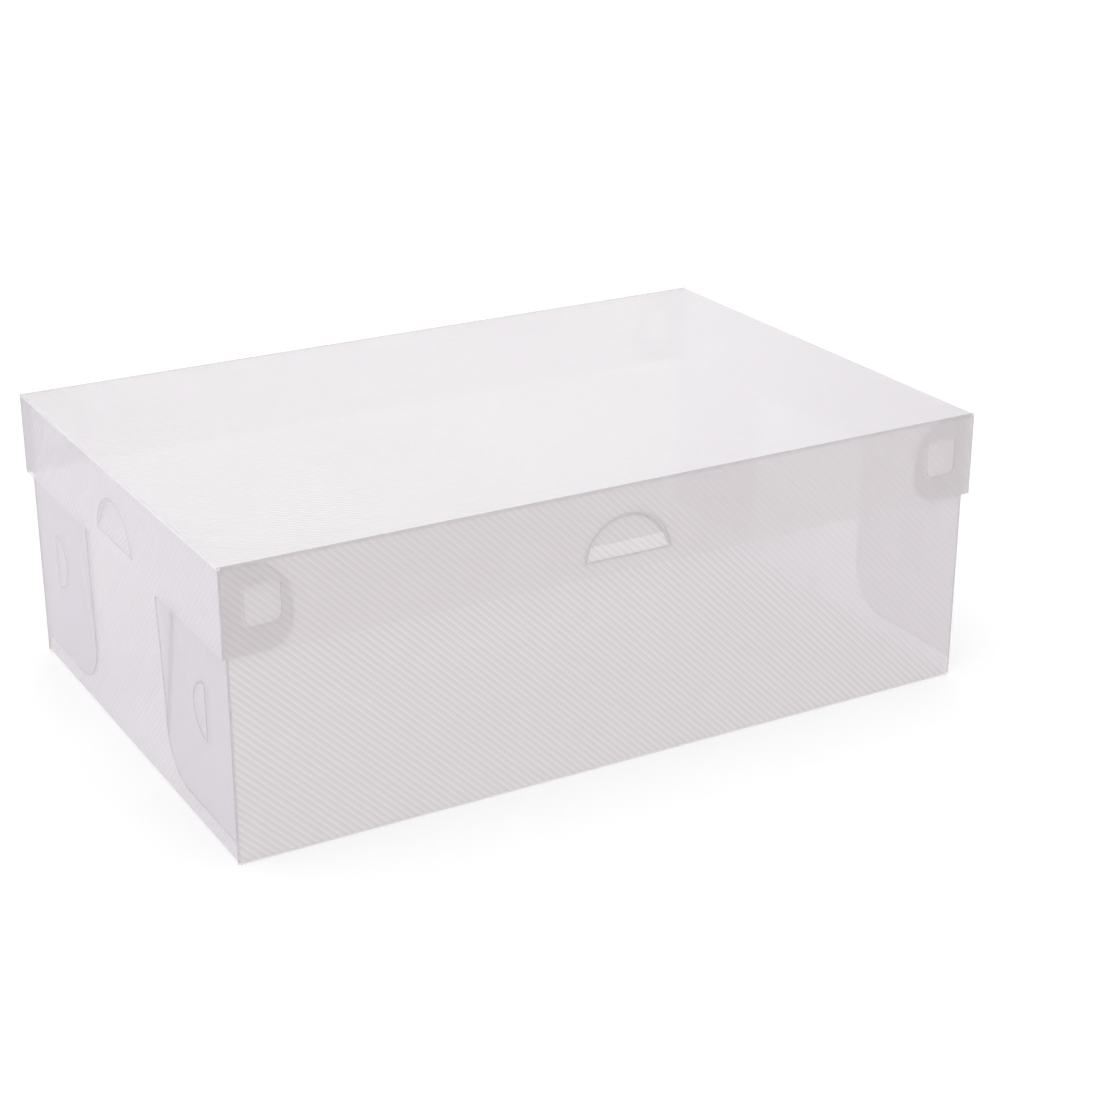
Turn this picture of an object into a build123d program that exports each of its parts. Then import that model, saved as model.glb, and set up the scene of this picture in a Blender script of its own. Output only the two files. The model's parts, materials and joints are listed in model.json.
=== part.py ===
from build123d import *
import os

# Clear folding shoe box: a base tray and a lid, each one die-cut sheet of ribbed film.
# Every panel between two creases is a solid of its own, because it turns on those creases.
# Millimetres, +Z up, origin on the table under the middle of the closed box.
# X runs along the long side and the front looks towards -Y.

# Driving dimensions
length = 280.0
width = 185.0
height = 100.0
film = 0.5
layer_gap = 0.15
cut_gap = 0.15

# Lid
skirt_depth = 29.5
fold_radius = 0.3
lid_flap_reach = 23.0
lid_flap_top_radius = 14.0
lid_flap_low_radius = 9.0
lid_tongue_width = 12.0
lid_tongue_height = 12.5
lid_tongue_radius = 3.0
lid_tongue_drop = 8.0
lid_tongue_from_corner = 13.5
window_margin = 0.5

# Half-moon thumb flaps in the skirts
thumb_half_width = 16.0
thumb_height = 13.8
thumb_crease_drop = 24.0
thumb_bend_height = 4.5
thumb_set_back = 1.1

# Base tray
base_inset = 1.8
base_rim_gap = 0.15
base_flap_reach = 56.0
base_flap_low = 7.5
base_flap_clearance = 0.5
base_flap_top_radius = 1.5
base_flap_low_radius = 17.0
base_tongue_radius = 9.5
base_tongue_height = 43.5
base_tongue_from_corner = 20.0

# Worked out from the above
lid_under = height - film
skirt_low = height - skirt_depth
skirt_mid = (lid_under + skirt_low) / 2
skirt_height = lid_under - skirt_low
skirt_inside_x = length / 2 - film
flap_outside_y = width / 2 - film - layer_gap
base_half_length = length / 2 - base_inset
base_half_width = width / 2 - base_inset
base_top = lid_under - base_rim_gap
wall_height = base_top - film
wall_mid = film + wall_height / 2
end_wall_outside = base_half_length - film - layer_gap
flap_crease_y = base_half_width - film
base_flap_high = skirt_low - base_flap_clearance
tongue_mid = height - lid_tongue_drop - lid_tongue_height / 2
tongue_centre = length / 2 - lid_tongue_from_corner
thumb_crease = height - thumb_crease_drop

long_sides = {"front": -1, "back": 1}
end_sides = {"left": -1, "right": 1}

os.makedirs("parts", exist_ok=True)


def side_plane(outward, distance):
    """Plane of a side face: x runs along the face as seen from outside, y is up."""
    normal = Vector(*outward)
    return Plane(origin=normal * distance, x_dir=Vector(0, 0, 1).cross(normal), z_dir=normal)


def flap_outline(crease_x, reach, low, high, low_radius, high_radius):
    """A corner flap: straight on its crease, rounded at its free end. reach has a sign."""
    free_x = crease_x + reach
    with BuildLine() as outline:
        FilletPolyline(
            (crease_x, high), (free_x, high), (free_x, low), (crease_x, low), radius=[high_radius, low_radius]
        )
        Line((crease_x, low), (crease_x, high))
    make_face(outline.edges())


def square_tongue(centre, trim, mode=Mode.ADD):
    """A tongue that hangs from the crease on its top edge, its lower corners rounded."""
    tall = lid_tongue_height - trim
    wide = lid_tongue_width - 2 * trim
    top = tongue_mid + lid_tongue_height / 2
    with Locations((centre, top - tall / 2)):
        RectangleRounded(wide, tall, lid_tongue_radius, mode=mode)
    with Locations((centre, top - tall / 4)):
        Rectangle(wide, tall / 2, mode=mode)


def half_moon(half_width, tall, mode=Mode.ADD):
    """A half-moon that stands on a straight crease."""
    with BuildLine() as outline:
        ThreePointArc((-half_width, thumb_crease), (0, thumb_crease + tall), (half_width, thumb_crease))
        Line((half_width, thumb_crease), (-half_width, thumb_crease))
    make_face(outline.edges(), mode=mode)


def d_tongue(crease_x, toward, radius, mode=Mode.ADD):
    """A D-shaped tongue on an upright crease; toward is the side it points to, +1 or -1."""
    with BuildLine() as outline:
        ThreePointArc(
            (crease_x, base_tongue_height - radius),
            (crease_x + toward * radius, base_tongue_height),
            (crease_x, base_tongue_height + radius),
        )
        Line((crease_x, base_tongue_height + radius), (crease_x, base_tongue_height - radius))
    make_face(outline.edges(), mode=mode)


def save(piece, label):
    piece.part.label = label
    export_step(piece.part, f"parts/{label}.step")


# Lid top: the flat panel, its upper edges rounded where the sheet folds down
with BuildPart() as lid_top:
    with BuildSketch(Plane.XY.offset(lid_under)):
        Rectangle(length, width)
    extrude(amount=film)
    fillet(lid_top.faces().sort_by(Axis.Z)[-1].edges(), fold_radius)
save(lid_top, "lid_top")

# Long skirts of the lid, cut through for two lock tongues and a thumb flap
for name, sign in long_sides.items():
    with BuildPart() as long_skirt:
        with BuildSketch(side_plane((0, sign, 0), width / 2)):
            with Locations((0, skirt_mid)):
                Rectangle(length, skirt_height)
            square_tongue(tongue_centre, 0, Mode.SUBTRACT)
            square_tongue(-tongue_centre, 0, Mode.SUBTRACT)
            half_moon(thumb_half_width, thumb_height, Mode.SUBTRACT)
        extrude(amount=-film)
    save(long_skirt, f"lid_{name}_skirt")

# End skirts of the lid, cut through for a thumb flap
for name, sign in end_sides.items():
    with BuildPart() as end_skirt:
        with BuildSketch(side_plane((sign, 0, 0), length / 2)):
            with Locations((0, skirt_mid)):
                Rectangle(2 * flap_outside_y, skirt_height)
            half_moon(thumb_half_width, thumb_height, Mode.SUBTRACT)
        extrude(amount=-film)
    save(end_skirt, f"lid_{name}_skirt")

# Lid corner flaps: carried by the end skirts, tucked behind the long skirts, with a square window
for along, x_sign in end_sides.items():
    for across, y_sign in long_sides.items():
        hand = -x_sign * y_sign
        with BuildPart() as lid_flap:
            with BuildSketch(side_plane((0, y_sign, 0), flap_outside_y)):
                flap_outline(
                    hand * skirt_inside_x,
                    -hand * lid_flap_reach,
                    skirt_low,
                    lid_under - layer_gap,
                    lid_flap_low_radius,
                    lid_flap_top_radius,
                )
                with Locations((hand * tongue_centre, tongue_mid)):
                    RectangleRounded(
                        lid_tongue_width + 2 * window_margin,
                        lid_tongue_height + 2 * window_margin,
                        lid_tongue_radius / 2,
                        mode=Mode.SUBTRACT,
                    )
            extrude(amount=-film)
        save(lid_flap, f"lid_flap_{across}_{along}")

# Lid lock tongues: each fills its cut in a long skirt, over the window of the flap behind
for along, x_sign in end_sides.items():
    for across, y_sign in long_sides.items():
        hand = -x_sign * y_sign
        with BuildPart() as lid_tongue:
            with BuildSketch(side_plane((0, y_sign, 0), width / 2)):
                square_tongue(hand * tongue_centre, cut_gap)
            extrude(amount=-film)
        save(lid_tongue, f"lid_tongue_{across}_{along}")

# Thumb flaps: half-moons that lean in from the crease, then stand upright behind the skirt
thumb_faces = {
    "front": ((0, -1, 0), width / 2),
    "back": ((0, 1, 0), width / 2),
    "left": ((-1, 0, 0), length / 2),
    "right": ((1, 0, 0), length / 2),
}
for name, (outward, distance) in thumb_faces.items():
    face = side_plane(outward, distance)
    across_face = Plane(origin=(0, 0, 0), x_dir=face.z_dir, z_dir=-face.x_dir)
    bend_top = thumb_crease + thumb_bend_height
    moon_top = thumb_crease + thumb_height
    with BuildPart() as thumb_flap:
        with BuildSketch(across_face):
            with BuildLine():
                Polyline(
                    (distance, thumb_crease),
                    (distance - thumb_set_back, bend_top),
                    (distance - thumb_set_back, moon_top),
                    (distance - thumb_set_back - film, moon_top),
                    (distance - thumb_set_back - film, bend_top),
                    (distance - film, thumb_crease),
                    close=True,
                )
            make_face()
        extrude(amount=thumb_half_width, both=True)
        with BuildSketch(face):
            half_moon(thumb_half_width - 2 * cut_gap, thumb_height - 2 * cut_gap)
        extrude(amount=-2 * base_inset, mode=Mode.INTERSECT)
    save(thumb_flap, f"thumb_flap_{name}")

# Base floor
with BuildPart() as base_floor:
    with BuildSketch(Plane.XY):
        Rectangle(2 * base_half_length, 2 * base_half_width)
    extrude(amount=film)
save(base_floor, "base_floor")

# Long walls of the base, standing on the floor's long creases
for name, sign in long_sides.items():
    with BuildPart() as long_wall:
        with BuildSketch(side_plane((0, sign, 0), base_half_width)):
            with Locations((0, wall_mid)):
                Rectangle(2 * base_half_length, wall_height)
        extrude(amount=-film)
    save(long_wall, f"base_{name}_wall")

# End walls of the base, inside the corner flaps, with a slot behind each lock tongue
for name, sign in end_sides.items():
    with BuildPart() as end_wall:
        with BuildSketch(side_plane((sign, 0, 0), end_wall_outside)):
            with Locations((0, wall_mid)):
                Rectangle(2 * (flap_crease_y - layer_gap), wall_height)
            for hand in (-1, 1):
                slot_x = hand * (flap_crease_y - base_tongue_from_corner + window_margin)
                d_tongue(slot_x, -hand, base_tongue_radius + window_margin, Mode.SUBTRACT)
        extrude(amount=-film)
    save(end_wall, f"base_{name}_wall")

# Base corner flaps: folded from the long walls round the corner, outside the end walls
for along, x_sign in end_sides.items():
    for across, y_sign in long_sides.items():
        hand = x_sign * y_sign
        tongue_crease = hand * (flap_crease_y - base_tongue_from_corner)
        with BuildPart() as base_flap:
            with BuildSketch(side_plane((x_sign, 0, 0), base_half_length)):
                flap_outline(
                    hand * flap_crease_y,
                    -hand * base_flap_reach,
                    base_flap_low,
                    base_flap_high,
                    base_flap_low_radius,
                    base_flap_top_radius,
                )
                d_tongue(tongue_crease, -hand, base_tongue_radius, Mode.SUBTRACT)
            extrude(amount=-film)
        save(base_flap, f"base_flap_{across}_{along}")

        # Its lock tongue, on an upright crease
        with BuildPart() as base_tongue:
            with BuildSketch(side_plane((x_sign, 0, 0), base_half_length)):
                d_tongue(tongue_crease, -hand, base_tongue_radius - cut_gap)
            extrude(amount=-film)
        save(base_tongue, f"base_tongue_{across}_{along}")
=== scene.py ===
import json
import math

import bmesh
import bpy
from mathutils import Matrix, Vector


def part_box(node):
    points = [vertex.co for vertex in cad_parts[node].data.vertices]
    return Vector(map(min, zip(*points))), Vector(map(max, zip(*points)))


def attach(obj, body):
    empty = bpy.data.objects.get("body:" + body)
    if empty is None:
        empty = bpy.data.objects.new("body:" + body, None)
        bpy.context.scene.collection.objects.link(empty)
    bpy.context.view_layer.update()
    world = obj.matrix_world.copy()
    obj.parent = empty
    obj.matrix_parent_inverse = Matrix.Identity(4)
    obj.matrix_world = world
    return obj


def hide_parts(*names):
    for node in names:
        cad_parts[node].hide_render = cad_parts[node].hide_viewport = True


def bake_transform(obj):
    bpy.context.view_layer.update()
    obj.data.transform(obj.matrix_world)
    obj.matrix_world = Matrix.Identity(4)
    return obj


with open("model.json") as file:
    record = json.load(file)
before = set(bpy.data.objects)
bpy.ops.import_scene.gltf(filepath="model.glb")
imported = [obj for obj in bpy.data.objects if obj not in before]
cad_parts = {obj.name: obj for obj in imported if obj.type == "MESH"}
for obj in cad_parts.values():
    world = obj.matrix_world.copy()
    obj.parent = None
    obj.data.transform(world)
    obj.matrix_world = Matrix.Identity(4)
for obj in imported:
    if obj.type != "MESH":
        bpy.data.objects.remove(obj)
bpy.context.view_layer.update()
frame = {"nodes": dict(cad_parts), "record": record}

# The table: a pale sheet of card, wider than the view on every side.
# It belongs to the studio and not to the box.
table_size = 60.0

table_bm = bmesh.new()
bmesh.ops.create_grid(table_bm, x_segments=4, y_segments=4, size=table_size / 2)
table_mesh = bpy.data.meshes.new("table")
table_bm.to_mesh(table_mesh)
table_bm.free()
table = bpy.data.objects.new("table", table_mesh)
bpy.context.scene.collection.objects.link(table)

card = bpy.data.materials.new("pale_card")
card.use_nodes = True
card_shader = card.node_tree.nodes["Principled BSDF"]
card_shader.inputs["Roughness"].default_value = 0.9
card_shader.inputs["Specular IOR Level"].default_value = 0.1
card_fibres = card.node_tree.nodes.new("ShaderNodeTexNoise")
card_fibres.inputs["Scale"].default_value = 40.0
card_tone = card.node_tree.nodes.new("ShaderNodeMix")
card_tone.data_type = "RGBA"
card_tone.inputs["A"].default_value = (0.96, 0.96, 0.96, 1)
card_tone.inputs["B"].default_value = (0.98, 0.98, 0.98, 1)
card_place = card.node_tree.nodes.new("ShaderNodeTexCoord")
card.node_tree.links.new(card_place.outputs["Object"], card_fibres.inputs["Vector"])
card.node_tree.links.new(card_fibres.outputs["Fac"], card_tone.inputs["Factor"])
card.node_tree.links.new(card_tone.outputs["Result"], card_shader.inputs["Base Color"])
table_mesh.materials.append(card)

# The camera stands off the front left corner, a little above the lid.
# Its turn, height and distance are about a point near the middle of the box.
lid_low, lid_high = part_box("lid_top")
length = lid_high.x - lid_low.x
height = lid_high.z
view_turn = math.radians(-29.76)
view_height = math.radians(22.28)
view_distance = 0.830
view_point = Vector((0.085 * length, 0, 0.397 * height))
view_lens = 74.4

back = Vector((
    math.sin(view_turn) * math.cos(view_height),
    -math.cos(view_turn) * math.cos(view_height),
    math.sin(view_height),
))
camera_data = bpy.data.cameras.new("camera")
camera_data.lens = view_lens
camera_data.sensor_width = 36.0
camera = bpy.data.objects.new("camera", camera_data)
camera.location = view_point + view_distance * back
camera.rotation_euler = back.to_track_quat("Z", "Y").to_euler()
bpy.context.scene.collection.objects.link(camera)
bpy.context.scene.camera = camera

# Studio light: a grey room, a broad soft sky light a little to the left, and a low softbox behind the box.
# The film is seen through many layers, so the render follows that many.
room_strength = 0.80
sky_strength = 0.95
sky_from = Vector((-0.25, -0.12, 0.96))

sky_light = bpy.data.lights.new("sky_light", "SUN")
sky_light.energy = sky_strength
sky_light.angle = math.radians(70)
sky = bpy.data.objects.new("sky_light", sky_light)
sky.rotation_euler = sky_from.to_track_quat("Z", "Y").to_euler()
bpy.context.scene.collection.objects.link(sky)
rear_light = bpy.data.lights.new("rear_softbox", "AREA")
rear_light.shape = "RECTANGLE"
rear_light.size = 1.4
rear_light.size_y = 0.5
rear_light.energy = 6.0
rear = bpy.data.objects.new("rear_softbox", rear_light)
rear.location = (1.2, 2.6, 1.25)
rear.rotation_euler = rear.location.to_track_quat("Z", "Y").to_euler()
bpy.context.scene.collection.objects.link(rear)
room = bpy.data.worlds.new("room")
room.use_nodes = True
room.node_tree.nodes["Background"].inputs["Color"].default_value = (1, 1, 1, 1)
room.node_tree.nodes["Background"].inputs["Strength"].default_value = room_strength
bpy.context.scene.world = room
bpy.context.scene.view_settings.view_transform = "Standard"
bpy.context.scene.cycles.transparent_max_bounces = 48

# The base floor: the middle panel of the base's die-cut sheet, lying on the table. The sheet is clear
# polypropylene film with fine ribs rolled into its outer face: hazy, and darker at its cut edges, partly as
# painted shade.
# The floor's ribs run at 45 degrees, from front left to back right.
mm = 0.001
floor_low, floor_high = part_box("base_floor")
end_wall_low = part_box("base_left_wall")[0]
fold_radius = 0.8 * mm
film = 0.5 * mm
rib_pitch = 1.95 * mm
rib_depth = 0.10 * mm
steps_per_rib = 4
film_tint = (0.728, 0.688, 0.702)
# The ribs' feet and the film along bends are tinted darker as painted shade; the rib crests are tinted
# lighter as painted highlight.
painted_shade_tint = (0.555, 0.515, 0.535)
painted_highlight_tint = (0.92, 0.89, 0.90)
film_cover = 0.36
light_passed = 0.6
haze_cover = 0.08
dust_cover = 0.05
rib_cover = 0.04
bend_cover = 0.25
haze_roughness = 0.14
scuff_roughness = 0.08
edge_haze = 0.2
rib_phase_shift = 0.8
least_ribs = 0.25
least_half_span = 4 * mm
weld = 0.002 * mm
sharpest_bend = math.radians(35)
node_body = {node: body for body, nodes in frame["record"]["behaviour"]["bodies"].items() for node in nodes}


def add_group(name, inputs, outputs):
    """A shader node group with its group input and output nodes."""
    group = bpy.data.node_groups.new(name, "ShaderNodeTree")
    for socket, value in inputs.items():
        made = group.interface.new_socket(socket, in_out="INPUT", socket_type="NodeSocketFloat")
        made.default_value = value
    for socket in outputs:
        group.interface.new_socket(socket, in_out="OUTPUT", socket_type="NodeSocketFloat")
    return group, group.nodes.new("NodeGroupInput"), group.nodes.new("NodeGroupOutput")


def math_node(tree, operation, first, second):
    """A Math node; each operand is a socket or a number."""
    node = tree.nodes.new("ShaderNodeMath")
    node.operation = operation
    for operand, socket in zip((first, second), node.inputs):
        if isinstance(operand, (int, float)):
            socket.default_value = operand
        else:
            tree.links.new(operand, socket)
    return node.outputs[0]


# Haze: slow clouds in the film, plus specks of dust
dust_level = 0.78
haze_group, haze_in, haze_out = add_group(
    "film_haze", {"Cloud Scale": 14.0, "Dust Scale": 900.0}, ["Clouds", "Dust"])
haze_place = haze_group.nodes.new("ShaderNodeTexCoord")
clouds = haze_group.nodes.new("ShaderNodeTexNoise")
clouds.inputs["Detail"].default_value = 3.0
haze_group.links.new(haze_place.outputs["Object"], clouds.inputs["Vector"])
haze_group.links.new(haze_in.outputs["Cloud Scale"], clouds.inputs["Scale"])
dust = haze_group.nodes.new("ShaderNodeTexNoise")
dust.inputs["Detail"].default_value = 1.0
haze_group.links.new(haze_place.outputs["Object"], dust.inputs["Vector"])
haze_group.links.new(haze_in.outputs["Dust Scale"], dust.inputs["Scale"])
dust_specks = math_node(haze_group, "GREATER_THAN", dust.outputs["Fac"], dust_level)
haze_group.links.new(clouds.outputs["Fac"], haze_out.inputs["Clouds"])
haze_group.links.new(dust_specks, haze_out.inputs["Dust"])

# Scuffs: faint long scratches from sliding boxes in and out of a shelf
scuff_level = 0.60
scuff_contrast = 5.0
scuff_group, scuff_in, scuff_out = add_group("scuffs", {"Scale": 26.0}, ["Scuff"])
scuff_place = scuff_group.nodes.new("ShaderNodeTexCoord")
scuff_stretch = scuff_group.nodes.new("ShaderNodeMapping")
scuff_stretch.inputs["Scale"].default_value = (1.0, 22.0, 22.0)
scuff_stretch.inputs["Rotation"].default_value = (0.3, 0.2, 0.5)
scuff_noise = scuff_group.nodes.new("ShaderNodeTexNoise")
scuff_noise.inputs["Detail"].default_value = 2.0
scuff_group.links.new(scuff_place.outputs["Object"], scuff_stretch.inputs["Vector"])
scuff_group.links.new(scuff_stretch.outputs["Vector"], scuff_noise.inputs["Vector"])
scuff_group.links.new(scuff_in.outputs["Scale"], scuff_noise.inputs["Scale"])
scuff_mask = math_node(scuff_group, "SUBTRACT", scuff_noise.outputs["Fac"], scuff_level)
scuff_mask = math_node(scuff_group, "MULTIPLY", scuff_mask, scuff_contrast)
scuff_mask = math_node(scuff_group, "MAXIMUM", scuff_mask, 0)
scuff_group.links.new(scuff_mask, scuff_out.inputs["Scuff"])


def group_node(tree, group, **values):
    node = tree.nodes.new("ShaderNodeGroup")
    node.node_tree = group
    for name, value in values.items():
        node.inputs[name.replace("_", " ")].default_value = value
    return node


# Ribs: a soft ridge with a painted highlight on its crest and painted shade on its foot, its lower side.
# This painted light shows most where the film is seen against the light: past Fade Start it fades within Fade
# Width to the share least_ribs.
rib_group, rib_in, rib_out = add_group("ribs", {
    "Over": 0.0, "Along": 0.0, "Strength": 1.0, "Fade Start": 1.0, "Fade Width": 1.0,
}, ["Foot", "Crest"])
rib_phase = math_node(rib_group, "MULTIPLY", rib_in.outputs["Over"], 2 * math.pi / rib_pitch)
foot = math_node(rib_group, "MULTIPLY_ADD", math_node(rib_group, "COSINE", rib_phase, 0), -0.5)
foot.node.inputs[2].default_value = 0.5
crest = math_node(rib_group, "ADD", rib_phase, rib_phase_shift)
crest = math_node(rib_group, "MULTIPLY_ADD", math_node(rib_group, "COSINE", crest, 0), 0.5)
crest.node.inputs[2].default_value = 0.5
past = math_node(rib_group, "SUBTRACT", rib_in.outputs["Along"], rib_in.outputs["Fade Start"])
past = math_node(rib_group, "DIVIDE", past, rib_in.outputs["Fade Width"])
shown = math_node(rib_group, "SUBTRACT", 1.0, math_node(rib_group, "MAXIMUM", past, 0))
shown = math_node(rib_group, "MAXIMUM", shown, least_ribs)
shown = math_node(rib_group, "MULTIPLY", shown, rib_in.outputs["Strength"])
foot = math_node(rib_group, "MULTIPLY", math_node(rib_group, "POWER", foot, 2.0), shown)
crest = math_node(rib_group, "MULTIPLY", math_node(rib_group, "POWER", crest, 5.0), shown)
rib_group.links.new(foot, rib_out.inputs["Foot"])
rib_group.links.new(crest, rib_out.inputs["Crest"])


def dot_node(tree, socket, direction):
    """How far a point lies along a direction."""
    node = tree.nodes.new("ShaderNodeVectorMath")
    node.operation = "DOT_PRODUCT"
    node.inputs[1].default_value = direction
    tree.links.new(socket, node.inputs[0])
    return node.outputs["Value"]


def mix_colour(tree, factor, first, second):
    """A colour between two; each is a socket or three numbers."""
    node = tree.nodes.new("ShaderNodeMix")
    node.data_type = "RGBA"
    tree.links.new(factor, node.inputs["Factor"])
    for operand, name in ((first, "A"), (second, "B")):
        if isinstance(operand, tuple):
            node.inputs[name].default_value = (*operand, 1)
        else:
            tree.links.new(operand, node.inputs[name])
    return node.outputs["Result"]


def let_light_through(tree, cover):
    """Milky film hides what is behind it more than it dims the light: it scatters most of it on through."""
    path = tree.nodes.new("ShaderNodeLightPath")
    as_light = math_node(tree, "MAXIMUM", path.outputs["Is Shadow Ray"], path.outputs["Is Diffuse Ray"])
    passed = math_node(tree, "MULTIPLY_ADD", as_light, -light_passed)
    passed.node.inputs[2].default_value = 1.0
    return math_node(tree, "MULTIPLY", cover, passed)


def film_material(name, across, tint=film_tint, cover=film_cover, roughness=0.38, ribs=0.32,
                  fade=((1, 0, 0), 1.0, 1.0)):
    """Ribbed film. across is the direction over the ribs, in the frame; cover is how much one face hides.

    ribs is how strongly they show. fade is a direction, and where and over what length they fade along it.
    """
    material = bpy.data.materials.new(name)
    material.use_nodes = True
    tree = material.node_tree
    shader = tree.nodes["Principled BSDF"]
    shader.inputs["IOR"].default_value = 1.49
    haze = group_node(tree, haze_group)
    scuffs = group_node(tree, scuff_group)
    place = tree.nodes.new("ShaderNodeTexCoord")
    fade_direction, fade_start, fade_width = fade
    rib = group_node(tree, rib_group, Strength=ribs, Fade_Start=fade_start, Fade_Width=fade_width)
    tree.links.new(dot_node(tree, place.outputs["Object"], Vector(across).normalized()), rib.inputs["Over"])
    tree.links.new(dot_node(tree, place.outputs["Object"], Vector(fade_direction)), rib.inputs["Along"])
    # The attribute read here carries painted shade along the bends of the film: it darkens the colour and
    # thickens the cover.
    bend_shade = tree.nodes.new("ShaderNodeAttribute")
    bend_shade.attribute_name = "bend_shade"
    # Painted shade on the ribs' feet and along bends, painted highlight on the ribs' crests.
    painted_shade = math_node(tree, "MAXIMUM", rib.outputs["Foot"], bend_shade.outputs["Fac"])
    tone = mix_colour(tree, painted_shade, tint, painted_shade_tint)
    tone = mix_colour(tree, rib.outputs["Crest"], tone, painted_highlight_tint)
    tree.links.new(tone, shader.inputs["Base Color"])
    rough = math_node(tree, "MULTIPLY_ADD", haze.outputs["Clouds"], haze_roughness)
    rough.node.inputs[2].default_value = roughness - haze_roughness / 2
    scuffed = math_node(tree, "MULTIPLY", scuffs.outputs["Scuff"], scuff_roughness)
    tree.links.new(math_node(tree, "ADD", rough, scuffed), shader.inputs["Roughness"])
    cloudy = math_node(tree, "MULTIPLY_ADD", haze.outputs["Clouds"], haze_cover)
    cloudy.node.inputs[2].default_value = cover - haze_cover / 2
    dusty = math_node(tree, "MULTIPLY_ADD", haze.outputs["Dust"], dust_cover)
    tree.links.new(cloudy, dusty.node.inputs[2])
    ribbed = math_node(tree, "MULTIPLY_ADD", rib.outputs["Foot"], rib_cover)
    tree.links.new(dusty, ribbed.node.inputs[2])
    ridged = math_node(tree, "MULTIPLY_ADD", rib.outputs["Crest"], rib_cover)
    tree.links.new(ribbed, ridged.node.inputs[2])
    bent = math_node(tree, "MULTIPLY_ADD", bend_shade.outputs["Fac"], bend_cover)
    tree.links.new(ridged, bent.node.inputs[2])
    tree.links.new(let_light_through(tree, bent), shader.inputs["Alpha"])
    return material


def plain_material(name, tint, cover, roughness):
    """Film without ribs, for cut edges and creases, its cover broken up by haze."""
    material = bpy.data.materials.new(name)
    material.use_nodes = True
    tree = material.node_tree
    shader = tree.nodes["Principled BSDF"]
    shader.inputs["IOR"].default_value = 1.49
    haze = group_node(tree, haze_group, Cloud_Scale=160.0)
    tone = mix_colour(tree, haze.outputs["Clouds"], tuple(0.92 * c for c in tint), tint)
    tree.links.new(tone, shader.inputs["Base Color"])
    cloudy = math_node(tree, "MULTIPLY_ADD", haze.outputs["Clouds"], edge_haze)
    cloudy.node.inputs[2].default_value = cover - edge_haze / 2
    tree.links.new(let_light_through(tree, cloudy), shader.inputs["Alpha"])
    rough = math_node(tree, "MULTIPLY_ADD", haze.outputs["Clouds"], edge_haze)
    rough.node.inputs[2].default_value = roughness - edge_haze / 2
    tree.links.new(rough, shader.inputs["Roughness"])
    return material


# The cut edges, and the pressed margins along them, are tinted darker than the film: partly their own look,
# partly painted shade of the gap at the cut.
cut_edge = plain_material("cut_edge", (0.60, 0.57, 0.595), 0.42, 0.45)


def panel_matrix(node, outward):
    """From panel coordinates to the frame: x to the right seen from outside, y up, z out of the face."""
    low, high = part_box(node)
    normal = Vector(outward)
    up = Vector((0, 1, 0)) if abs(normal.z) > 0.5 else Vector((0, 0, 1))
    right = up.cross(normal)
    middle = (low + high) / 2
    half = (high - low) / 2
    face = middle + normal * abs(half.dot(normal))
    turn = Matrix((right, up, normal)).transposed().to_4x4()
    return Matrix.Translation(face) @ turn, max(half.length, least_half_span) * 2


def outline_of(node, outward, limits, grow=8.0):
    """The node's own outline as a thick block, for cutting a ribbed sheet to shape."""
    bm = bmesh.new()
    bm.from_mesh(frame["nodes"][node].data)
    bmesh.ops.remove_doubles(bm, verts=bm.verts, dist=weld)
    low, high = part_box(node)
    middle = (low + high) / 2
    normal = Vector(outward)
    for vert in bm.verts:
        for axis, (least, most) in limits.items():
            vert.co[axis] = min(max(vert.co[axis], least), most)
        vert.co += normal * ((vert.co - middle).dot(normal) * (grow - 1))
    return bm


def ribbed_sheet(node, outward, lean, rows, relief):
    """A flat piece of film with ribs over the whole of its outer face, larger than the node's panel."""
    place, span = panel_matrix(node, outward)
    step = rib_pitch / steps_per_rib
    columns = math.ceil(span / step / steps_per_rib) * steps_per_rib
    bm = bmesh.new()
    bmesh.ops.create_grid(bm, x_segments=columns, y_segments=rows, size=0.5)
    bmesh.ops.scale(bm, vec=(columns * step, span, 1), verts=bm.verts)
    bmesh.ops.rotate(bm, cent=(0, 0, 0), matrix=Matrix.Rotation(-lean * math.pi / 4, 3, "Z"), verts=bm.verts)
    bmesh.ops.transform(bm, matrix=place, verts=bm.verts)
    normal = Vector(outward)
    across = place.to_3x3() @ Vector((1, -lean, 0)).normalized()
    inner = bmesh.ops.extrude_face_region(bm, geom=bm.faces[:], use_keep_orig=True)["geom"]
    inner = {vert for vert in inner if isinstance(vert, bmesh.types.BMVert)}
    for vert in bm.verts:
        wave = math.cos(vert.co.dot(across) * 2 * math.pi / rib_pitch)
        depth = film if vert in inner else rib_depth * (0.5 - 0.5 * wave)
        vert.co += normal * (relief(vert.co) - depth)
    bmesh.ops.recalc_face_normals(bm, faces=bm.faces)
    return bm


def as_object(bm, name):
    """A bmesh as an object in the scene, smooth but for its folds; the bmesh is freed."""
    for face in bm.faces:
        face.smooth = True
    for edge in bm.edges:
        edge.smooth = not edge.is_manifold or edge.calc_face_angle() < sharpest_bend
    mesh = bpy.data.meshes.new(name)
    bm.to_mesh(mesh)
    bm.free()
    made = bpy.data.objects.new(name, mesh)
    bpy.context.scene.collection.objects.link(made)
    return made


def flat(co):
    return 0.0


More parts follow.
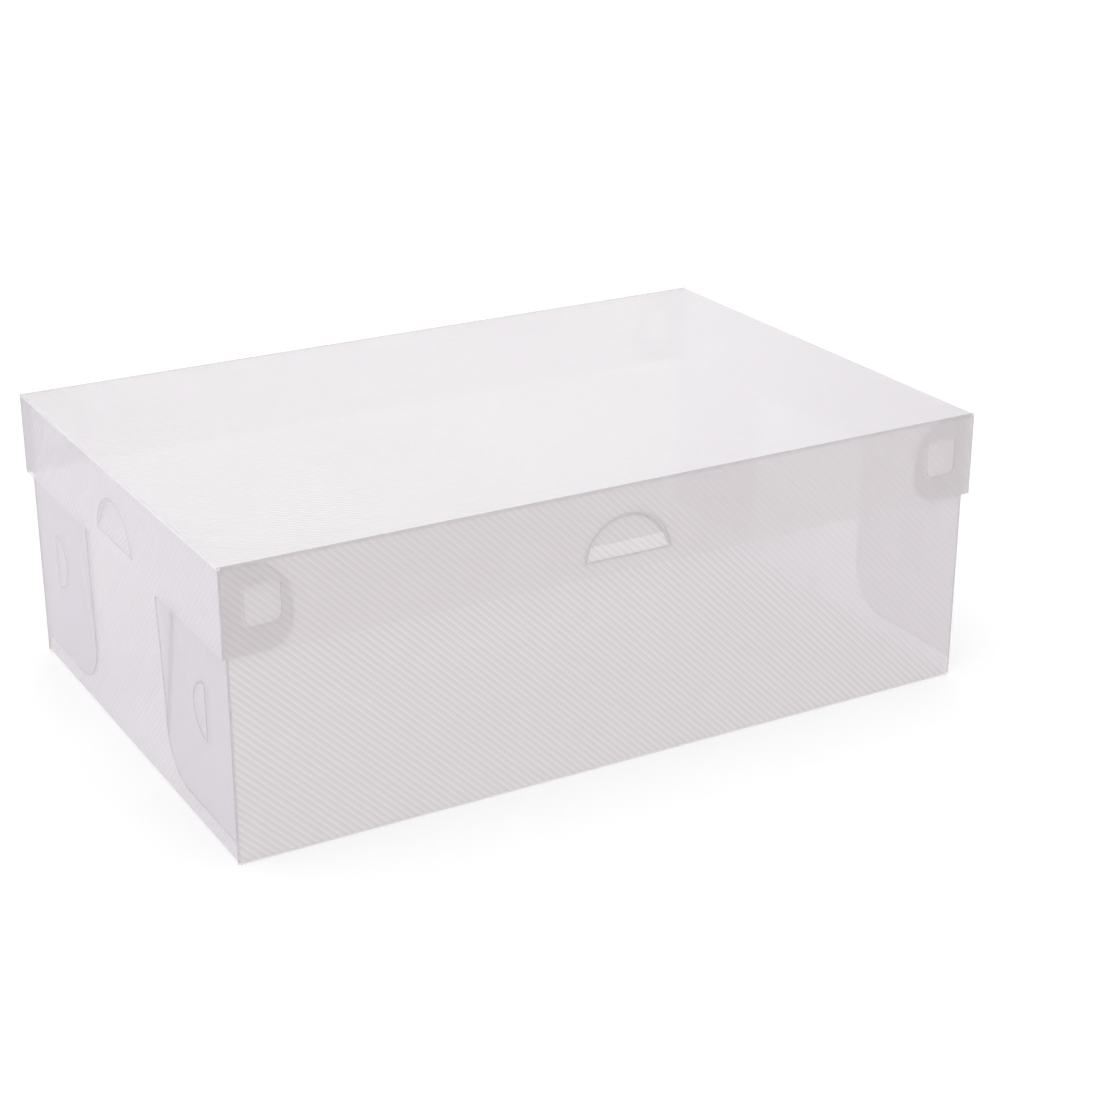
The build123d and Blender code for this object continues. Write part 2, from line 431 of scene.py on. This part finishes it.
def ribbed_panel(node, outward, lean, material, limits=None, rows=1, relief=flat, bend_shade=None,
                 margin=None, edge_film=cut_edge, block_bm=None):
    """A node's panel as ribbed film, cut to the node's outline.

    lean is +1 for ribs that rise to the right. relief gives how far the film stands out at a point,
    bend_shade how much painted shade lies there along a bend, from 0 to 1, and margin whether the die pressed
    it flat there.
    """
    normal = Vector(outward)
    block_bm = block_bm or outline_of(node, outward, limits or {})
    margin_bm = pressed_margin(block_bm, node, outward, margin, relief) if margin else None
    sheet = as_object(ribbed_sheet(node, outward, lean, rows, relief), node + "_sheet")
    block = as_object(block_bm, node + "_outline")
    cut = sheet.modifiers.new("cut_to_shape", "BOOLEAN")
    cut.operation = "INTERSECT"
    cut.solver = "EXACT"
    cut.object = block
    cut_mesh = bpy.data.meshes.new_from_object(sheet.evaluated_get(bpy.context.evaluated_depsgraph_get()))
    for part in (sheet, block):
        bpy.data.objects.remove(part)
    panel_bm = bmesh.new()
    panel_bm.from_mesh(cut_mesh)
    for face in panel_bm.faces:
        face.material_index = 0 if abs(face.normal.dot(normal)) > 0.5 else 1
    if margin_bm:
        margin_mesh = bpy.data.meshes.new(node + "_margin")
        margin_bm.to_mesh(margin_mesh)
        margin_bm.free()
        ribbed_faces = len(panel_bm.faces)
        panel_bm.from_mesh(margin_mesh)
        panel_bm.faces.ensure_lookup_table()
        for face in panel_bm.faces[ribbed_faces:]:
            face.material_index = 1
    panel = as_object(panel_bm, node + "_film")
    panel.data.materials.append(material)
    panel.data.materials.append(edge_film)
    if bend_shade:
        bent = panel.data.attributes.new("bend_shade", "FLOAT", "POINT")
        bent.data.foreach_set("value", [bend_shade(vert.co) for vert in panel.data.vertices])
    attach(panel, node_body[node])
    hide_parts(node)
    return panel


floor_ribs = film_material("floor_film", (1, -1, 0), ribs=0.25)
ribbed_panel("base_floor", (0, 0, -1), -1, floor_ribs, {
    0: (end_wall_low.x + fold_radius, -end_wall_low.x - fold_radius),
    1: (floor_low.y + fold_radius, floor_high.y - fold_radius),
}, rows=6)

# The long walls of the base, folded up from the floor: they run the full length, carry the corner flaps,
# and bow in a little between the folds. The die pressed a smooth margin along their upright folds.
# The creases round the floor and round the lid top are rounded a little; the other creases are sharp.
long_sides = {"front": -1, "back": 1}
end_sides = {"left": -1, "right": 1}
wall_bow = 0.5 * mm
long_fade = {"front": ((0.59, 0, 0.81), 0.079, 0.009), "back": ((-0.59, 0, 0.81), 0.079, 0.009)}
front_ribs = film_material("front_film", (1, 0, 1), fade=long_fade["front"])
back_ribs = film_material("back_film", (1, 0, -1), fade=long_fade["back"])
long_film = {"front": front_ribs, "back": back_ribs}
margin_width = 0.7 * mm
edge_reach = 2 * mm
margin_levels = 24
margin_depth = 1.1 * rib_depth
# The creases' film is much lighter than the sheet: partly stress whitening of the folded film, partly painted
# highlight along the folds.
whitened_highlit_crease_film = plain_material("crease", (0.92, 0.90, 0.93), 0.50, 0.42)


def pressed_margin(block_bm, node, outward, where, relief):
    """The smooth margin that the cutting die pressed flat along the edges of an outline, where it says so."""
    place = panel_matrix(node, outward)[0]
    normal = Vector(outward)
    bm = block_bm.copy()
    bmesh.ops.delete(bm, geom=[face for face in bm.faces if face.normal.dot(normal) < 0.9], context="FACES")
    for vert in bm.verts:
        vert.co += normal * (place.translation - vert.co).dot(normal)
    bmesh.ops.inset_region(bm, faces=bm.faces[:], thickness=margin_width, use_even_offset=True,
                           use_boundary=True)
    inside = [face for face in bm.faces
              if not any(vert.is_boundary for vert in face.verts) or not where(face.calc_center_median())]
    bmesh.ops.delete(bm, geom=inside, context="FACES")
    low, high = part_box(node)
    levels = margin_levels if relief is not flat else 1
    for level in range(1, levels):
        bmesh.ops.bisect_plane(bm, geom=[*bm.verts, *bm.edges, *bm.faces], plane_no=(0, 0, 1),
                               plane_co=low.lerp(high, level / levels))
    inner = bmesh.ops.extrude_face_region(bm, geom=bm.faces[:], use_keep_orig=True)["geom"]
    inner = {vert for vert in inner if isinstance(vert, bmesh.types.BMVert)}
    for vert in bm.verts:
        vert.co += normal * (relief(vert.co) - (margin_depth if vert in inner else 0))
    bmesh.ops.recalc_face_normals(bm, faces=bm.faces)
    return bm


def crease(name, corner, along, into_a, into_b, bodies, radius, half_length, material=whitened_highlit_crease_film):
    """A rounded fold between two panels: a quarter tube of film from panel a, at a right angle, to panel b.

    corner is the middle of the sharp edge that it rounds off; its ends are mitred.
    """
    corner, along, into_a, into_b = (Vector(v) for v in (corner, along, into_a, into_b))
    bm = bmesh.new()
    start = corner + into_a * radius
    corners = [start + along * side * half_length + into_b * level for side, level in
               ((-1, 0), (1, 0), (1, film), (-1, film))]
    section = bm.faces.new([bm.verts.new(point) for point in corners])
    turn = math.pi / 2 if into_a.cross(into_b).dot(along) < 0 else -math.pi / 2
    centre = start + into_b * radius
    bmesh.ops.spin(bm, geom=[section, *section.edges, *section.verts], cent=centre, axis=along, angle=turn,
                   steps=8, use_merge=False)
    for side in (-1, 1):
        mitre = (-along * side + into_a).normalized()
        bmesh.ops.bisect_plane(bm, geom=[*bm.verts, *bm.edges, *bm.faces], plane_no=-mitre,
                               plane_co=corner + along * side * half_length, clear_outer=True)
    bmesh.ops.remove_doubles(bm, verts=bm.verts, dist=weld)
    bmesh.ops.holes_fill(bm, edges=[edge for edge in bm.edges if edge.is_boundary])
    bmesh.ops.recalc_face_normals(bm, faces=bm.faces)
    fold = as_object(bm, name)
    fold.data.materials.append(material)
    if bodies[0] == bodies[1]:
        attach(fold, bodies[0])
    else:
        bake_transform(fold)


def swell(value, half):
    """1 in the middle, falling to 0 at plus or minus half, rounded."""
    return 1 - (value / half) ** 2


def by_the_corner(co):
    return abs(co.x) > floor_high.x - edge_reach


def long_wall_relief(co):
    return -wall_bow * swell(co.x, length / 2) * swell(co.z - height / 2, height / 2)


for name, sign in long_sides.items():
    ribbed_panel(f"base_{name}_wall", (0, sign, 0), -1, long_film[name], {2: (fold_radius, 1)}, rows=8,
                 relief=long_wall_relief, margin=by_the_corner)
    crease(f"floor_{name}_crease", (0, sign * floor_high.y, 0), (1, 0, 0), (0, -sign, 0), (0, 0, 1),
           ("base", "base"), fold_radius, floor_high.x)

# The end walls of the base, folded up inside the corner flaps.
# Each has two D-shaped slots for the flaps' lock tongues.
# The end walls' film, also used on the lid's end skirts, is tinted lighter than the long walls' film as
# painted light.
lit_end_tint = (0.795, 0.757, 0.815)
lit_left_ribs = film_material("left_film", (0, 1, 1), tint=lit_end_tint, ribs=0.12)
lit_right_ribs = film_material("right_film", (0, 1, -1), tint=lit_end_tint, ribs=0.12)
lit_end_film = {"left": lit_left_ribs, "right": lit_right_ribs}
for name, sign in end_sides.items():
    ribbed_panel(f"base_{name}_wall", (sign, 0, 0), 1, lit_end_film[name], {
        1: (floor_low.y + fold_radius, floor_high.y - fold_radius),
        2: (fold_radius, 1),
    }, rows=4)
    crease(f"floor_{name}_crease", (-sign * end_wall_low.x, 0, 0), (0, 1, 0), (-sign, 0, 0), (0, 0, 1),
           ("base", f"base_{name}_wall"), fold_radius, floor_high.y)

# The base's corner flaps: they wrap round from the long walls, so their ribs cross the end walls' ribs.
# Their free edges curl out a little, the front left one most, with painted shade along the line where each
# curl starts, darkest on the front left one; each has a D-shaped lock tongue cut in it.
# The flaps and their tongues are tinted darker than the end walls they lie on, as painted shade.
shaded_flap_tint = (0.72, 0.675, 0.74)
shaded_flap_film = {
    "left": film_material("left_shaded_flap_film", (0, 1, -1), tint=shaded_flap_tint, ribs=0.15),
    "right": film_material("right_shaded_flap_film", (0, 1, 1), tint=shaded_flap_tint, ribs=0.15),
}
tongue_film = {
    "left": film_material("left_shaded_tongue_film", (0, 1, -1), tint=shaded_flap_tint, cover=0.58, ribs=0.15),
    "right": film_material("right_shaded_tongue_film", (0, 1, 1), tint=shaded_flap_tint, cover=0.58, ribs=0.15),
}
faint_edge = plain_material("faint_edge", (0.72, 0.685, 0.73), 0.36, 0.45)
curl_width = 12 * mm
curl_low = 23 * mm
curl_power = 1.3
curl_shade_width = 0.13


def curl_at(co, free_y, flap_top):
    """How far a point is past the slanting bend line of the curl, in curl widths."""
    share = (co.z - curl_low) / (flap_top - curl_low)
    return share - abs(co.y - free_y) / curl_width


for along, x_sign in end_sides.items():
    for across, y_sign in long_sides.items():
        flap = f"base_flap_{across}_{along}"
        flap_low, flap_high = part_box(flap)
        free_y = flap_high.y if y_sign < 0 else flap_low.y
        most_curled = (across, along) == ("front", "left")
        curl_height = 1.25 * mm if most_curled else 0.4 * mm
        curl_shade = 1.0 if most_curled else 0.2

        def curl_relief(co):
            return curl_height * max(0, curl_at(co, free_y, flap_high.z)) ** curl_power

        # Painted shade along the line where the curl starts.
        def curl_bend_shade(co):
            return curl_shade * math.exp(-(curl_at(co, free_y, flap_high.z) / curl_shade_width) ** 2)

        def off_the_wall(co):
            return abs(co.y) < floor_high.y - edge_reach

        ribbed_panel(flap, (x_sign, 0, 0), -1, shaded_flap_film[along], rows=56, relief=curl_relief, bend_shade=curl_bend_shade,
                     margin=off_the_wall, edge_film=cut_edge if most_curled else faint_edge)
        ribbed_panel(f"base_tongue_{across}_{along}", (x_sign, 0, 0), -1, tongue_film[along],
                     edge_film=faint_edge)

# The lid top: the middle panel of the lid sheet.
# It sags a little between its creases, so the light on it breaks into soft bands.
# The lid top's film is tinted lighter than the walls' film, as painted light from above.
lit_top_ribs = film_material("lit_top_film", (1, 1, 0), tint=(0.765, 0.738, 0.762), cover=0.62, ribs=0.2)
width = lid_high.y - lid_low.y
top_sag = 0.9 * mm
top_ripple = 0.15 * mm
ripple_waves = ((52, 21, 0.0), (23, -47, 1.0))


def top_relief(co):
    edge = swell(co.x, length / 2) * swell(co.y, width / 2)
    ripple = sum(math.sin(co.x * along + co.y * across + shift) for along, across, shift in ripple_waves)
    return edge * (top_ripple * ripple - top_sag)


ribbed_panel("lid_top", (0, 0, 1), -1, lit_top_ribs, {
    0: (lid_low.x + fold_radius, lid_high.x - fold_radius),
    1: (lid_low.y + fold_radius, lid_high.y - fold_radius),
}, rows=40, relief=top_relief)

# The lid's skirts, folded down from the lid top.
# The long ones are cut through for the lock tongues, and all four for a half-moon thumb flap.
under_fold = height - fold_radius
shaded_crease = plain_material("shaded_crease", (0.61, 0.58, 0.605), 0.50, 0.42)
skirt_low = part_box("lid_front_skirt")[0].z
moon_reach = 20 * mm


def by_the_half_moon(co):
    """True along the half-moon cut-outs in the skirts, and not along the skirts' outer edges."""
    in_height = skirt_low + edge_reach < co.z < under_fold - edge_reach
    return in_height and min(abs(co.x), abs(co.y)) < moon_reach


def by_the_moon_or_corner(co):
    return by_the_half_moon(co) or abs(co.x) > lid_high.x - edge_reach


# The long skirts' film is tinted a little darker than the walls' film, as painted shade on the lid band.
shaded_skirt_tint = (0.71, 0.67, 0.685)
skirt_film = {
    "front": film_material("front_shaded_skirt_film", (1, 0, 1), tint=shaded_skirt_tint, ribs=0.2, fade=long_fade["front"]),
    "back": film_material("back_shaded_skirt_film", (1, 0, -1), tint=shaded_skirt_tint, ribs=0.2, fade=long_fade["back"]),
    "left": lit_left_ribs,
    "right": lit_right_ribs,
}
for name, sign in long_sides.items():
    ribbed_panel(f"lid_{name}_skirt", (0, sign, 0), -1, skirt_film[name], {2: (0, under_fold)}, rows=2,
                 margin=by_the_moon_or_corner)
    crease(f"lid_{name}_crease", (0, sign * lid_high.y, height), (1, 0, 0), (0, -sign, 0), (0, 0, -1),
           ("lid", f"lid_{name}_skirt"), fold_radius, lid_high.x, shaded_crease)
for name, sign in end_sides.items():
    ribbed_panel(f"lid_{name}_skirt", (sign, 0, 0), 1, skirt_film[name], {2: (0, under_fold)}, rows=2,
                 margin=by_the_half_moon, edge_film=faint_edge)
    crease(f"lid_{name}_crease", (sign * lid_high.x, 0, height), (0, 1, 0), (-sign, 0, 0), (0, 0, -1),
           ("lid", f"lid_{name}_skirt"), fold_radius, lid_high.y)

# The lid's corner flaps: they wrap round from the end skirts and lie behind the long skirts.
# Each has a square window for the lock tongue in front of it.
# The flaps' film and the edges of their windows are tinted dark, as painted shade behind the skirts.
shaded_lock_edge = plain_material("shaded_lock_edge", (0.56, 0.53, 0.555), 0.42, 0.45)
lid_flap_fold = 3 * mm
shaded_lid_flap_film = {
    "front": film_material("front_shaded_flap_film", (1, 0, -1), tint=(0.50, 0.465, 0.49), cover=0.50, ribs=0.4),
    "back": film_material("back_shaded_flap_film", (1, 0, 1), tint=(0.50, 0.465, 0.49), cover=0.50, ribs=0.4),
}


def off_the_skirt(co):
    return abs(co.x) < length / 2 - lid_flap_fold


for across, y_sign in long_sides.items():
    for along in end_sides:
        ribbed_panel(f"lid_flap_{across}_{along}", (0, y_sign, 0), 1, shaded_lid_flap_film[across],
                     {2: (0, under_fold)}, margin=off_the_skirt, edge_film=shaded_lock_edge)
        ribbed_panel(f"lid_tongue_{across}_{along}", (0, y_sign, 0), -1, skirt_film[across],
                     edge_film=faint_edge)

# The half-moon thumb flaps: die-cut on the arc, creased along the straight side.
# Each leans in from its crease and then stands upright behind the skirt; on the long sides the leaning strip
# is tinted lighter, as painted light where it faces up.
lean_height = 4.5 * mm
lit_fold_tint = (0.86, 0.82, 0.84)
lit_fold_film = {
    "front": film_material("front_lit_fold_film", (1, 0, 1), tint=lit_fold_tint, cover=0.36, ribs=0.25),
    "back": film_material("back_lit_fold_film", (1, 0, -1), tint=lit_fold_tint, cover=0.36, ribs=0.25),
    "left": film_material("left_fold_film", (0, 1, 1), tint=lit_end_tint, ribs=0.2),
    "right": film_material("right_fold_film", (0, 1, -1), tint=lit_end_tint, ribs=0.2),
}
moon_facets = 128
moon_crease = 1 * mm
moon_block = 8 * mm


def half_moon_block(node, normal):
    """A half-moon as wide and as tall as the node, thick enough to cut a sheet with."""
    low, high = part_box(node)
    middle = (low + high) / 2
    half_wide = max(high.x - low.x, high.y - low.y) / 2
    tall = high.z - low.z
    radius = (half_wide ** 2 + tall ** 2) / (2 * tall)
    centre = Vector((middle.x, middle.y, high.z - radius))
    bm = bmesh.new()
    bmesh.ops.create_circle(bm, cap_ends=True, segments=moon_facets, radius=radius)
    facing = normal.to_track_quat("Z", "Y").to_matrix().to_4x4()
    place = Matrix.Translation(centre - normal * moon_block / 2) @ facing
    bmesh.ops.transform(bm, matrix=place, verts=bm.verts)
    bmesh.ops.bisect_plane(bm, geom=[*bm.verts, *bm.edges, *bm.faces], plane_co=low, plane_no=(0, 0, -1),
                           clear_outer=True)
    far = bmesh.ops.extrude_face_region(bm, geom=bm.faces[:], use_keep_orig=True)["geom"]
    far = [vert for vert in far if isinstance(vert, bmesh.types.BMVert)]
    bmesh.ops.translate(bm, vec=normal * moon_block, verts=far)
    bmesh.ops.recalc_face_normals(bm, faces=bm.faces)
    return bm


for name, outward in {"front": (0, -1, 0), "back": (0, 1, 0), "left": (-1, 0, 0), "right": (1, 0, 0)}.items():
    node = f"thumb_flap_{name}"
    moon_low, moon_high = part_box(node)
    set_back = min(moon_high.x - moon_low.x, moon_high.y - moon_low.y) - film

    def lean_in(co):
        return -set_back * min(max((co.z - moon_low.z) / lean_height, 0), 1)

    def off_the_crease(co):
        return co.z > moon_low.z + moon_crease

    on_long_side = name in long_sides
    lean = -1 if on_long_side else 1
    moon_edge = cut_edge if on_long_side else faint_edge
    moon = ribbed_panel(node, outward, lean, skirt_film[name], rows=48, relief=lean_in,
                        margin=off_the_crease, edge_film=moon_edge,
                        block_bm=half_moon_block(node, Vector(outward)))
    moon.data.materials.append(lit_fold_film[name])
    for face in moon.data.polygons:
        if face.material_index == 0 and face.center.z < moon_low.z + lean_height:
            face.material_index = 2
